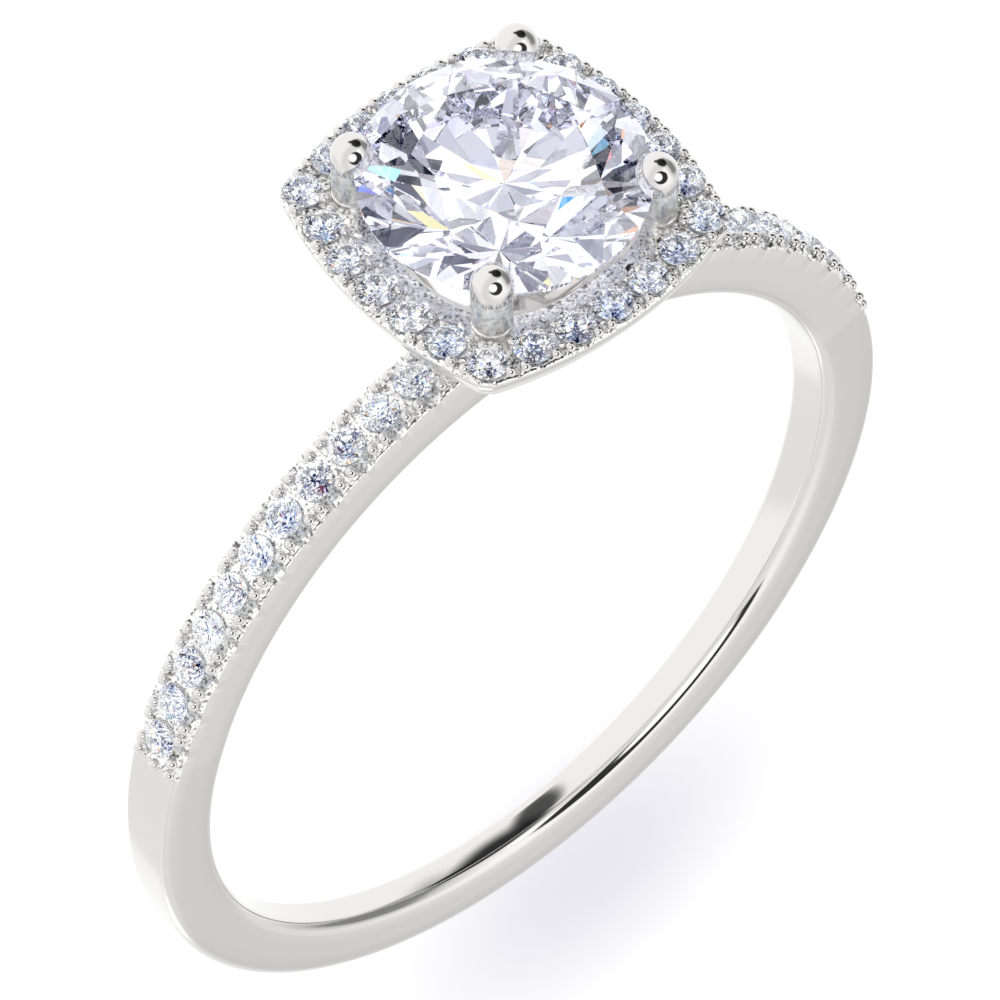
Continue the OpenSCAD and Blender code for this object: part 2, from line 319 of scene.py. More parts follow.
class Shank:
    """The shank's sizes that follow from its properties."""

    def __init__(self, scene):
        s, g = scene.ring_shank, scene.ring_stones
        self.inner = s.bore_radius
        self.outer = s.bore_radius + s.thickness
        self.pitch = 2 * math.asin(g.shoulder_pitch / 2 / (self.outer + g.proud))
        self.stones = [g.shoulder_start + i * self.pitch for i in range(g.shoulder_count)]
        self.gaps = [g.shoulder_start + (i - 0.5) * self.pitch for i in range(g.shoulder_count + 1)]
        self.fine_end = self.gaps[-1] + 0.9 * self.pitch
        self.taper_top = self.outer * math.cos(self.gaps[-1])
        self.s, self.g = s, g

    def down(self, turn):
        """How far an angle from the top lies down the plain part: 0 at its stones, 1 at the bottom."""
        fallen = self.taper_top - self.outer * np.cos(turn)
        return float(np.clip(fallen / (self.taper_top + self.outer), 0, 1))

    def half_width(self, turn):
        return self.s.width / 2 - (self.s.width - self.s.bottom_width) / 2 * self.down(turn)

    def outer_round(self, turn):
        """The rounding of the outer edges, which is whole well before the bottom of the shank."""
        grown = float(smooth_step(self.down(turn) * 1.4))
        return self.s.outer_round + (self.s.bottom_round - self.s.outer_round) * grown

    def graved(self, turn):
        """Whether a graver has been over the metal there: from just before the first beads to the last."""
        return self.gaps[0] - 0.2 * self.pitch < from_top(turn) < self.gaps[-1] + 0.25 * self.pitch


def from_top(turn):
    """An angle from the top of the ring, the same for both shoulders."""
    return abs((turn + math.pi) % (2 * math.pi) - math.pi)


def pave_height(k, turn, across):
    """Height of the metal among the stones of a shoulder."""
    i = int(np.clip(round((turn - k.stones[0]) / k.pitch), 0, len(k.stones) - 1))
    past = (turn - k.stones[i]) * k.outer
    gap = min(k.gaps, key=lambda a: abs(a - turn))
    split = split_height((turn - gap) * k.outer, k.g)
    beside_stones = np.abs(across) > 0.3 * MM
    cuts = [seat_height(past, across, k.g, k.g.cut_depth), np.where(beside_stones, split, np.inf)]
    if i == len(k.stones) - 1:
        cuts.append(end_cut_height(past, across, k.g))
    return functools.reduce(np.minimum, cuts)


def outer_face(k, turn):
    """The outer face of one section: distances from the bore's axis and along the finger."""
    half, corner = k.half_width(turn), k.outer_round(turn)
    bends = np.radians(np.linspace(90, 10, EDGE_STEPS))
    side = half - corner + corner * np.sin(bends)
    fall = corner * (1 - np.cos(bends))
    across = np.concatenate([-side, np.linspace(corner - half, half - corner, TOP_STEPS), side[::-1]])
    height = np.concatenate([-fall, np.zeros(TOP_STEPS), -fall[::-1]]) - k.s.dome * (across / half) ** 2
    if from_top(turn) < k.fine_end:
        height = np.minimum(height, pave_height(k, from_top(turn), across))
    return [(k.outer + z, y) for z, y in zip(height, across)]


def flank(k, half, edge):
    """One side of a section: from the outer face's edge down to the finger hole and its rounding."""
    corner = k.s.inner_round
    low = k.inner + corner
    points = [(edge + (low - edge) * down, half) for down in FLANK_SHARES]
    for bend in np.linspace(0, math.pi / 2, INNER_STEPS + 1):
        points.append((low - corner * math.sin(bend), half - corner + corner * math.cos(bend)))
    return points


def build_shank_mesh(scene):
    """A closed sweep round the finger hole, its outer face cut for the stones of the shoulders."""
    k = Shank(scene)
    fine = int(round(k.fine_end / k.pitch * STONE_STEPS))
    turns = np.concatenate([
        np.linspace(-k.fine_end, k.fine_end, 2 * fine + 1),
        np.linspace(k.fine_end, 2 * math.pi - k.fine_end, PLAIN_STEPS)[1:-1],
    ])
    rows = []
    for turn in turns:
        half = k.half_width(turn)
        section = outer_face(k, turn)
        far_side = flank(k, half, section[-1][0])
        near_side = [(r, -y) for r, y in reversed(flank(k, half, section[0][0]))]
        rows.append([(r * math.sin(turn), y, r * math.cos(turn)) for r, y in section + far_side + near_side])
    columns = len(rows[0])

    def finish(face):
        row, column = divmod(face, columns)
        on_top = column < TOP_STEPS + 2 * EDGE_STEPS - 1
        return "cut" if on_top and k.graved(turns[row]) else None

    return [p for row in rows for p in row], ring_faces(len(rows), columns), finish


class Halo:
    """The halo's sizes and the places of its stones, which follow from its properties."""

    def __init__(self, scene):
        h, g, s = scene.ring_head, scene.ring_stones, scene.ring_shank
        self.h, self.g, self.s = h, g, s
        self.shank_top = s.bore_radius + s.thickness
        self.bottom = self.shank_top + h.lift
        self.top = self.bottom + h.plate_thickness
        self.line_half = h.half_width - h.line_inset
        self.line_bow = h.bow_radius - h.line_inset
        self.bow_centre = h.half_width - h.bow_radius
        corner = self.corner(0.0)
        step = 2 * corner / g.side_count
        self.stones, self.gaps = [], []
        for side in range(4):
            for i in range(g.side_count):
                for shift, places in ((0, self.stones), (0.5, self.gaps)):
                    t = -corner + (i + shift) * step
                    turn = -math.pi / 4 if i + shift == 0 else math.asin(t / self.line_bow)
                    x, y = self.bow_centre + math.sqrt(self.line_bow**2 - t * t), t
                    places.append((*turned(x, y, side * math.pi / 2), turn + side * math.pi / 2))
        self.girdle = self.top + h.centre_lift
        self.claw_off = g.centre_radius / math.sqrt(2) + h.claw_out
        self.tip = self.girdle + h.claw_rise
        self.dish = self.line_half - g.melee_radius - h.dish_wall
        self.hole = self.dish - (h.plate_thickness - h.dish_rim)

    def corner(self, offset):
        """Where two neighbouring sides meet, at an offset outwards from the line of stones."""
        half, bow = self.line_half + offset, self.line_bow + offset
        return ((half - bow) + math.sqrt(2 * bow * bow - (half - bow) ** 2)) / 2

    def outline(self, offset):
        """Points of the cushion outline at an offset from the line of stones, its corners rounded off."""
        bow = self.line_bow + offset
        reach = math.asin(self.corner(offset) / bow)
        limit = math.hypot(self.corner(offset), self.corner(offset)) - self.h.corner_off
        points = []
        for side in range(4):
            for i in range(OUTLINE_STEPS):
                bend = -reach + 2 * reach * i / OUTLINE_STEPS
                x, y = self.bow_centre + bow * math.cos(bend), bow * math.sin(bend)
                pull = min(1.0, limit / math.hypot(x, y))
                points.append(turned(x * pull, y * pull, side * math.pi / 2))
        return points


def halo_cuts(k, x, y):
    """Height of the halo's upper face above its plain level, cut for its stones."""
    height = np.zeros_like(x)
    wall = k.g.melee_radius + k.g.seat_clearance
    near = 1.2 * MM
    lane_start, lane_end = 0.2 * MM, 0.55 * MM
    for px, py, turn in k.stones:
        out, along = turned(x - px, y - py, -turn)
        reach = np.hypot(along, out)
        cut = np.where((out > 0) | (reach < wall), seat_height(along, out, k.g, k.h.cut_depth), np.inf)
        height = np.where(reach < near, np.minimum(height, cut), height)
    for px, py, turn in k.gaps:
        out, along = turned(x - px, y - py, -turn)
        in_lane = (np.abs(out) > lane_start) & (np.abs(out) < lane_end)
        height = np.where(in_lane, np.minimum(height, split_height(along, k.g)), height)
    return height


def ring_between(first, last, way, z):
    """A level ring of points part of the way from one ring to another."""
    return [(x + (u - x) * way, y + (v - y) * way, z) for (x, y), (u, v) in zip(first, last)]


def halo_top_rows(k):
    """The upper face, from its rounded edge in to the inner side of the stones."""
    outer, edge = k.h.line_inset, k.h.edge_round
    rows = []
    for offset in np.linspace(outer, -k.g.melee_radius, TOP_ROWS):
        near_edge = min(float(np.clip((offset - (outer - edge)) / edge, 0, 1)), 0.999)
        fall = edge * (1 - math.sqrt(1 - near_edge**2))
        x, y = np.array(k.outline(offset)).T
        height = np.minimum(halo_cuts(k, x, y), -fall)
        rows.append([(px, py, k.top + z) for px, py, z in zip(x, y, height)])
    return rows


def halo_dish_rows(k, inner):
    """From the stones over a level ledge into the dish, down to its hole and out under the plate."""
    h = k.h
    brink, hole = [], []
    for x, y, _ in inner:
        away = math.hypot(x, y)
        reach = k.dish - h.dish_bow * (1 + math.cos(4 * math.atan2(y, x))) / 2
        brink.append((reach * x / away, reach * y / away))
        hole.append((k.hole * x / away, k.hole * y / away))
    rows = []
    level_at = 3  # the ledge is level once it has come 1 / 3 of its way
    for way in np.linspace(0, 1, LEDGE_ROWS + 1)[1:]:
        rise = min(1, way * level_at)
        rows.append([
            (x + (u - x) * way, y + (v - y) * way, z + (k.top - z) * rise)
            for (x, y, z), (u, v) in zip(inner, brink)
        ])
    depth = h.plate_thickness - h.dish_rim
    for way in np.linspace(0, 1, DISH_ROWS + 1)[1:]:
        rows.append(ring_between(brink, hole, way, k.top - depth * way))
    under = k.outline(h.line_inset - h.lean - h.edge_round)
    return rows + [ring_between(hole, under, way, k.bottom) for way in UNDER_SHARES]


def halo_skirt_rows(k):
    """From the lower edge's rounding up the crowned skirt."""
    h = k.h
    outer, edge = h.line_inset, h.edge_round
    rings = []
    for bend in np.linspace(0, math.pi / 2, EDGE_ROWS + 1)[1:]:
        rings.append((outer - h.lean - edge + edge * math.sin(bend), k.bottom + edge * (1 - math.cos(bend))))
    for way in np.linspace(0, 1, SKIRT_ROWS + 1)[1:-1]:
        offset = outer - h.lean * (1 - math.sin(way * math.pi / 2))
        rings.append((offset, k.bottom + edge + (h.plate_thickness - 2 * edge) * way))
    return [[(x, y, z) for x, y in k.outline(offset)] for offset, z in rings]


def build_halo_mesh(scene):
    """The halo plate: cut upper face, dish with its hole, underside and smooth skirt, as one closed shell."""
    k = Halo(scene)
    rows = halo_top_rows(k)
    rows += halo_dish_rows(k, rows[-1])
    rows += halo_skirt_rows(k)
    columns = 4 * OUTLINE_STEPS
    brink = TOP_ROWS + LEDGE_ROWS - 1

    def finish(face):
        row = face // columns
        if row < brink:
            return "cut"
        return "tumbled" if row < brink + DISH_ROWS else None

    return [p for row in rows for p in row], ring_faces(len(rows), columns), finish


def capped_rings(rings, first, last):
    """Rings of points with a point at each end, as a closed shape."""
    sides = len(rings[0])
    points = [first] + [p for ring in rings for p in ring] + [last]
    faces = [(0, 1 + (j + 1) % sides, 1 + j) for j in range(sides)]
    for i in range(len(rings) - 1):
        for j in range(sides):
            a, b = 1 + i * sides + j, 1 + i * sides + (j + 1) % sides
            faces.append((a, b, b + sides, a + sides))
    end = len(points) - 1
    faces += [(end, end - sides + j, end - sides + (j + 1) % sides) for j in range(sides)]
    return points, faces


def ball(centre, radius, up, rings=9, sides=16):
    """A round bead with its poles along up."""
    up = Vector(up).normalized()
    side = up.orthogonal().normalized()
    other = up.cross(side)
    around = [2 * math.pi * j / sides for j in range(sides)]
    flat = [side * math.cos(a) + other * math.sin(a) for a in around]
    circles = []
    for i in range(1, rings):
        tilt = math.pi * i / rings
        pole = Vector(centre) + up * radius * math.cos(tilt)
        circles.append([pole + way * radius * math.sin(tilt) for way in flat])
    return capped_rings(circles, Vector(centre) + up * radius, Vector(centre) - up * radius)


def lathe(profile, centre, sides):
    """A closed round shape from radius and height pairs that start and end on its axis."""
    cx, cy = centre
    around = [2 * math.pi * j / sides for j in range(sides)]
    circles = [[(cx + r * math.cos(a), cy + r * math.sin(a), z) for a in around] for r, z in profile[1:-1]]
    return capped_rings(circles, (cx, cy, profile[0][1]), (cx, cy, profile[-1][1]))


def rod(start, end, radius, sides=28):
    """A round bar with flat ends."""
    start, end = Vector(start), Vector(end)
    way = (end - start).normalized()
    side = way.orthogonal().normalized()
    other = way.cross(side)
    points = []
    for centre in (start, end):
        for j in range(sides):
            around = 2 * math.pi * j / sides
            points.append(centre + (side * math.cos(around) + other * math.sin(around)) * radius)
    faces = [(j, (j + 1) % sides, sides + (j + 1) % sides, sides + j) for j in range(sides)]
    faces += [tuple(range(sides))[::-1], tuple(range(sides, 2 * sides))]
    return points, faces


def shoulder_beads(scene):
    """Two pairs of beads between neighbouring stones, and a single bead at the point of each end cut."""
    k = Shank(scene)
    g = k.g
    across = k.s.width / 2 - g.bead_radius - g.bead_inset
    lift, sink = 0.01 * MM, 0.02 * MM
    parts = []
    for side in (-1, 1):
        for turn in k.gaps:
            for step in (-g.bead_step, g.bead_step):
                out = radial(side * (turn + step / k.outer))
                for y in (-across, across):
                    parts.append(ball(out * (k.outer + lift) + Vector((0, y, 0)), g.bead_radius, out))
        out = radial(side * (k.gaps[-1] + g.end_bead / k.outer))
        parts.append(ball(out * (k.outer - sink), g.bead_radius, out))
    return joined(parts)


def radial(turn):
    """The direction outwards from the bore's axis, at an angle from the top of the ring."""
    return Vector((math.sin(turn), 0, math.cos(turn)))


def halo_beads(scene):
    """Two pairs of beads between neighbouring stones of the halo, one outside and one inside their line."""
    k = Halo(scene)
    g = k.g
    out_by = k.h.line_inset - g.bead_radius - k.h.bead_inset
    lift = 0.01 * MM
    parts = []
    for x, y, turn in k.gaps:
        out = Vector((math.cos(turn), math.sin(turn), 0))
        along = Vector((-math.sin(turn), math.cos(turn), 0))
        for row in (-out_by, out_by):
            for step in (-g.bead_step, g.bead_step):
                centre = Vector((x, y, k.top + lift)) + out * row + along * step
                parts.append(ball(centre, g.bead_radius, (0, 0, 1)))
    return joined(parts)


def claw_profile(k):
    """From a claw's foot in the halo plate over its collar and up to the top of its round tip."""
    h = k.h
    foot = k.bottom + h.plate_thickness / 2
    collar = k.top + h.collar
    post = collar + 0.05 * MM
    # The collar stands a little prouder than the claw, with a soft upper edge and a neck above it.
    profile = [(0, foot), (h.claw_radius * 1.05, foot), (h.claw_radius * 1.05, collar - 0.06 * MM)]
    profile += [(h.claw_radius * 1.03, collar - 0.02 * MM), (h.claw_radius * 0.97, collar)]
    for up in np.linspace(0, 1, POST_STEPS):
        swell = (h.tip_radius - h.claw_radius) * float(smooth_step(up * 1.1))
        profile.append((h.claw_radius + swell, post + (k.tip - post) * up))
    for i in range(1, TIP_STEPS):
        tilt = math.pi / 2 * (1 - i / TIP_STEPS)
        profile.append((h.tip_radius * math.sin(tilt), k.tip + h.tip_radius * math.cos(tilt)))
    return profile + [(0, k.tip + h.tip_radius)]


def stone_room(k):
    """The centre stone's round envelope, a little larger than the stone, which notches the claws."""
    g = k.g
    radius = g.centre_radius + 2 * g.seat_clearance
    table = g.centre_radius * g.table
    half = g.centre_radius * g.girdle + g.seat_clearance
    top = k.girdle + half + (radius - table) * math.tan(g.crown)
    point = k.girdle - half - radius * math.tan(g.pavilion)
    profile = [(0, point), (radius, k.girdle - half), (radius, k.girdle + half), (table, top), (0, top)]
    return lathe(profile, (0, 0), ROOM_SIDES)


def basket_mesh(scene):
    """Four wires from the shank up to the halo plate, and the rail that joins them."""
    k = Halo(scene)
    h = k.h
    foot_y, foot_z = k.s.width / 2 - h.wire_radius, k.shank_top - h.foot_sink
    top = k.bottom + h.plate_thickness / 2
    parts = []
    for sx in (-1, 1):
        for sy in (-1, 1):
            foot = (sx * h.foot_x, sy * foot_y, foot_z)
            parts.append(rod(foot, (sx * k.claw_off, sy * k.claw_off, top), h.wire_radius))
    middle = math.hypot((k.claw_off + h.foot_x) / 2, (k.claw_off + foot_y) / 2)
    height = (top + foot_z) / 2
    rail_steps, wire_sides = 96, 20
    points = []
    for i in range(rail_steps):
        around = 2 * math.pi * i / rail_steps
        for j in range(wire_sides):
            bend = 2 * math.pi * j / wire_sides
            r = middle + h.rail_radius * math.cos(bend)
            z = height + h.rail_radius * math.sin(bend)
            points.append((r * math.cos(around), r * math.sin(around), z))
    parts.append((points, ring_faces(rail_steps, wire_sides)))
    return joined(parts)


def brilliant_facets(radius, g):
    """Three points on each facet of a round brilliant round the origin, and the height of its table."""
    half, table = radius * g.girdle, radius * g.table
    crown, pavilion = math.tan(g.crown), math.tan(g.pavilion)
    eighth = math.pi / 4
    top = half + (radius - table) * crown
    star = radius * (g.table * math.cos(eighth / 2) * (1 - g.star) + g.star)
    lower = radius * (1 - g.lower)

    def at(r, turn, z):
        return Vector((r * math.cos(turn), r * math.sin(turn), z))

    culet = Vector((0, 0, -half - radius * pavilion))
    facets = []
    for i in range(8):
        a, b, c = i * eighth, (i + 0.5) * eighth, (i + 1) * eighth
        along = at(1, a + math.pi / 2, 0)
        tip = at(star, b, half + (radius - star * math.cos(eighth / 2)) * crown)
        deep = at(lower, b, -half - (radius - lower * math.cos(eighth / 2)) * pavilion)
        facets += [
            (at(table, a, top), at(radius, a, half), at(radius, a, half) + along),
            (at(table, a, top), at(table, c, top), tip),
            (tip, at(radius, a, half), at(radius, b, half)),
            (tip, at(radius, b, half), at(radius, c, half)),
            (culet, at(radius, a, -half), at(radius, a, -half) + along),
            (deep, at(radius, a, -half), at(radius, b, -half)),
            (deep, at(radius, b, -half), at(radius, c, -half)),
        ]
    return facets, top


def cut_brilliant(radius, g, sides):
    """A round brilliant as a cutter makes it: a round blank, then one flat facet after another."""
    facets, top = brilliant_facets(radius, g)
    deep = -radius * 1.2  # the blank reaches below the stone's point
    stone = bmesh.new()
    blank_points, blank_faces = lathe([(0, deep), (radius, deep), (radius, top), (0, top)], (0, 0), sides)
    corners = [stone.verts.new(p) for p in blank_points]
    for face in blank_faces:
        stone.faces.new([corners[i] for i in face])
    for p, q, r in facets:
        normal = (q - p).cross(r - p).normalized()
        if normal.dot(p) < 0:
            normal = -normal
        whole = list(stone.verts) + list(stone.edges) + list(stone.faces)
        cut = bmesh.ops.bisect_plane(
            stone, geom=whole, plane_co=p, plane_no=normal, clear_outer=True, dist=radius * 1e-6
        )
        rim = [e for e in cut["geom_cut"] if isinstance(e, bmesh.types.BMEdge)]
        if rim:
            bmesh.ops.holes_fill(stone, edges=[e for e in rim if e.is_valid and e.is_boundary], sides=0)
    bmesh.ops.remove_doubles(stone, verts=stone.verts, dist=radius * 1e-5)
    bmesh.ops.dissolve_limit(stone, angle_limit=math.radians(0.05), verts=stone.verts, edges=stone.edges)
    bmesh.ops.recalc_face_normals(stone, faces=stone.faces)
    stone.verts.index_update()
    points = [v.co.copy() for v in stone.verts]
    faces = [[v.index for v in f.verts] for f in stone.faces]
    stone.free()
    return points, faces


def mark_middles(piece, points, radius):
    """Notes each point's distance from its own stone's axis, as a share of the radius, for the painted
    reflections of small_diamond.
    """
    marks = piece.data.attributes.new("off_middle", "FLOAT", "POINT")
    shares = [p.xy.length / radius for p in points]
    marks.data.foreach_set("value", shares * (len(piece.data.vertices) // len(shares)))


def notch(piece, cutter):
    """Takes the cutter's volume out of a piece, and keeps the result as the piece's own mesh."""
    cut = piece.modifiers.new("notch", "BOOLEAN")
    cut.operation = "DIFFERENCE"
    cut.solver = "EXACT"
    cut.object = cutter
    graph = bpy.context.evaluated_depsgraph_get()
    mesh = bpy.data.meshes.new_from_object(piece.evaluated_get(graph))
    piece.modifiers.clear()
    piece.data = mesh


def add_node(tree, kind, settings=None, **links):
    """Adds a node, sets its properties and inputs, and links its inputs to other nodes' outputs.

    A setting's key is an input's name or place, a property's name, or stops or steps for the stops of a
    ramp. A link's key is an input's name with _ for a space, or i and its place.
    """
    node = tree.nodes.new(kind)
    for name, value in (settings or {}).items():
        if name in ("stops", "steps"):
            set_stops(node.color_ramp, value)
            node.color_ramp.interpolation = "CONSTANT" if name == "steps" else "LINEAR"
        elif isinstance(name, int) or name in node.inputs:
            node.inputs[name].default_value = value
        else:
            setattr(node, name, value)
    for name, output in links.items():
        by_place = name[0] == "i" and name[1:].isdigit()
        socket = node.inputs[int(name[1:]) if by_place else name.replace("_", " ")]
        tree.links.new(output, socket)
    return node


def set_stops(ramp, stops):
    """Gives a new colour ramp its stops, from pairs of place and colour in rising order."""
    ramp.elements.remove(ramp.elements[1])
    for i, (place, tone) in enumerate(stops):
        stop = ramp.elements.new(place) if i else ramp.elements[0]
        stop.position = place
        stop.color = tone


def finish_made_once(shade):
    """Turns a function that gives a surface's last node into one that gives its material, made once."""

    @functools.wraps(shade)
    def material(scene):
        name = shade.__name__
        if name not in bpy.data.materials:
            new = bpy.data.materials.new(name)
            new.use_nodes = True
            new.node_tree.nodes.clear()
            surface = shade(scene, new.node_tree)
            add_node(new.node_tree, "ShaderNodeOutputMaterial", Surface=surface.outputs[0])
        return bpy.data.materials[name]

    return material


@finish_made_once
def polished_white_gold(scene, tree):
    """Rhodium-plated white gold, mirror polished on a wheel: bright, faintly warm, with the softest haze."""
    haze_size = 0.9 * MM
    place = add_node(tree, "ShaderNodeTexCoord").outputs["Object"]
    haze = add_node(tree, "ShaderNodeTexNoise", {"Scale": 1 / haze_size, "Detail": 3.0}, Vector=place)
    rough = add_node(tree, "ShaderNodeMapRange", {"To Min": 0.05, "To Max": 0.11}, Value=haze.outputs["Fac"])
    gold = {"Base Color": tuple(scene.ring_looks.gold), "Metallic": 1.0}
    return add_node(tree, "ShaderNodeBsdfPrincipled", gold, Roughness=rough.outputs["Result"])


def patchy_gold(tree, stops, roughness, size, detail=2.0, dent_size=None, dent_depth=0.0, strength=0.0):
    """White gold in darker and brighter patches, with fine dents where it has a size for them."""
    place = add_node(tree, "ShaderNodeTexCoord").outputs["Object"]
    patches = add_node(tree, "ShaderNodeTexNoise", {"Scale": 1 / size, "Detail": detail}, Vector=place)
    tone = add_node(tree, "ShaderNodeValToRGB", {"stops": stops}, Fac=patches.outputs["Fac"])
    shader = add_node(
        tree, "ShaderNodeBsdfPrincipled", {"Metallic": 1.0, "Roughness": roughness},
        Base_Color=tone.outputs["Color"],
    )
    if dent_size:
        dents = add_node(tree, "ShaderNodeTexNoise", {"Scale": 1 / dent_size, "Detail": 2.0}, Vector=place)
        relief = {"Strength": strength, "Distance": dent_depth}
        bump = add_node(tree, "ShaderNodeBump", relief, Height=dents.outputs["Fac"])
        tree.links.new(bump.outputs["Normal"], shader.inputs["Normal"])
    return shader


@finish_made_once
def bright_cut_gold_with_painted_light(scene, tree):
    """White gold cut by a graver and pushed into beads: its bright nicks and dull grey ones, 0.1 mm wide, are
    painted highlights and painted shade in its colour.
    """
    # The dark grey stop is painted shade and the near white stop a painted highlight, in random patches among
    # the cuts and beads.
    stops = ((0.34, linear("#8F8D88")), (0.43, tuple(scene.ring_looks.gold)), (0.56, linear("#FFFFFD")))
    return patchy_gold(
        tree, stops, roughness=0.16, size=0.075 * MM, detail=1.5,
        dent_size=0.17 * MM, dent_depth=0.03 * MM, strength=0.7,
    )


@finish_made_once
def burnished_white_gold(scene, tree):
    """White gold rubbed smooth by hand, as on a claw's sides: soft reflections with faint ripples."""
    stops = ((0.36, linear("#D8D7D4")), (0.52, linear("#FFFFFD")))
    return patchy_gold(
        tree, stops, roughness=0.36, size=0.14 * MM,
        dent_size=0.14 * MM, dent_depth=0.02 * MM, strength=0.28,
    )


@finish_made_once
def tumbled_white_gold(scene, tree):
    """White gold as cast, only tumbled, where no wheel reaches: a satin with soft, cloudy patches."""
    stops = ((0.35, linear("#ECEBE7")), (0.65, linear("#FFFFFC")))
    return patchy_gold(tree, stops, roughness=0.42, size=0.4 * MM)


# What every diamond's surface has: no roughness, and the stone's own high refraction.
DIAMOND = {"Roughness": 0.0, "IOR": 2.42}


@finish_made_once
def cut_diamond(scene, tree):
    """Colourless diamond, flat facets polished on a wheel: sharp white and dark patches, with no haze."""
    return add_node(tree, "ShaderNodeBsdfGlass", {**DIAMOND, "Color": tuple(scene.ring_looks.gem_tint)})


@finish_made_once
def small_diamond(scene, tree):
    """Diamond cut too small for the eye to part its facets: white at the rim, with a heart of dark blue
    specks that are painted reflections of its dark facets.
    """
    speck = 0.08 * MM
    rimwards = 0.6  # how much fewer the specks get towards the rim
    place = add_node(tree, "ShaderNodeTexCoord").outputs["Object"]
    bits = add_node(tree, "ShaderNodeTexVoronoi", {"Scale": 1 / speck}, Vector=place)
    bit = add_node(tree, "ShaderNodeSeparateColor", Color=bits.outputs["Color"])
    middle = add_node(tree, "ShaderNodeAttribute", {"attribute_name": "off_middle"})
    painted_reflection_mask = add_node(
        tree, "ShaderNodeMath", {"operation": "MULTIPLY_ADD", 1: rimwards},
        i0=middle.outputs["Fac"], i2=bit.outputs["Red"],
    )
    # Painted reflections: the dark blue and pale steps stand in for the dark facets that a small stone shows
    # by mirroring its seat and the dark around it, and they thin out towards the rim.
    painted_dark_reflection, pale, clear = linear("#2A3873"), linear("#D6E3F8"), tuple(scene.ring_looks.small_tint)
    tone = add_node(
        tree, "ShaderNodeValToRGB", {"steps": ((0.0, painted_dark_reflection), (0.26, pale), (0.41, clear))},
        Fac=painted_reflection_mask.outputs["Value"],
    )
    return add_node(tree, "ShaderNodeBsdfGlass", DIAMOND, Color=tone.outputs["Color"])


@finish_made_once
def clear_sheet(scene, tree):
    """A clear acrylic sheet over a light table, faintly frosted, with a faint painted violet shadow beside
    the ring.
    """
    looks = scene.ring_looks
    # Real frost is too fine to show, so it is drawn as soft patches of this size.
    frost_size = 10 / 3 * MM
    # Painted shadow: a soft violet patch, fixed on the sheet beside the ring, tints the clear part's colour.
    shadow = {"Location": (2.6 * MM, -15.2 * MM, 0), "Scale": (8.5 * MM, 6 * MM, 1), "vector_type": "TEXTURE"}
    place = add_node(tree, "ShaderNodeTexCoord").outputs["Object"]
    painted_shadow_place = add_node(tree, "ShaderNodeMapping", shadow, Vector=place)
    round_off = add_node(
        tree, "ShaderNodeTexGradient", {"gradient_type": "SPHERICAL"}, Vector=painted_shadow_place.outputs["Vector"]
    )
    painted_shadow_mask = add_node(
        tree, "ShaderNodeMapRange", {"From Min": 0.12, "From Max": 0.95, "interpolation_type": "SMOOTHSTEP"},
        Value=round_off.outputs["Fac"],
    )
    tone = add_node(
        tree, "ShaderNodeMix", {"data_type": "RGBA", 6: linear("#FFFFFF"), 7: tuple(looks.shadow)},
        i0=painted_shadow_mask.outputs["Result"],
    )
    clear = add_node(tree, "ShaderNodeBsdfTransparent", Color=tone.outputs[2])
    frosted = add_node(tree, "ShaderNodeBsdfDiffuse", {"Color": tuple(looks.floor)})
    frost = add_node(tree, "ShaderNodeTexNoise", {"Scale": 1 / frost_size, "Detail": 4.0}, Vector=place)
    part = add_node(tree, "ShaderNodeMapRange", {"To Min": 0.13, "To Max": 0.15}, Value=frost.outputs["Fac"])
    return add_node(
        tree, "ShaderNodeMixShader", i0=part.outputs["Result"],
        i1=clear.outputs["BSDF"], i2=frosted.outputs["BSDF"],
    )


def worked_by(scene, finish):
    """The materials of graved metal, with its painted highlights and shade, and of tumbled metal, each with a
    test of the faces that are finished so.
    """
    made = {"cut": bright_cut_gold_with_painted_light(scene), "tumbled": tumbled_white_gold(scene)}
    return [(material, lambda face, way=way: finish(face) == way) for way, material in made.items()]


class RING_OT_shank(bpy.types.Operator):
    """Build the shank, with the seats and side cuts of its shoulders"""

    bl_idname = "ring.shank"
    bl_label = "Shank"

    def execute(self, context):
        points, faces, finish = build_shank_mesh(context.scene)
        metal, worked = polished_white_gold(context.scene), worked_by(context.scene, finish)
        add_piece("shank", points, faces, metal, METAL_SLOT, ["setting"], METAL_CREASE, worked)
        return {"FINISHED"}


class RING_OT_halo(bpy.types.Operator):
    """Build the halo plate with its dish and skirt"""

    bl_idname = "ring.halo"
    bl_label = "Halo plate"

    def execute(self, context):
        points, faces, finish = build_halo_mesh(context.scene)
        metal, worked = polished_white_gold(context.scene), worked_by(context.scene, finish)
        add_piece("halo_plate", points, faces, metal, METAL_SLOT, ["setting"], METAL_CREASE, worked)
        return {"FINISHED"}


class RING_OT_beads(bpy.types.Operator):
    """Build the beads that hold the small stones"""

    bl_idname = "ring.beads"
    bl_label = "Beads"

    def execute(self, context):
        metal = polished_white_gold(context.scene)
        for name, shape in (("shoulder_beads", shoulder_beads), ("halo_beads", halo_beads)):
            points, faces = shape(context.scene)
            add_piece(name, points, faces, metal, METAL_SLOT, ["setting"], BEAD_CREASE)
        return {"FINISHED"}


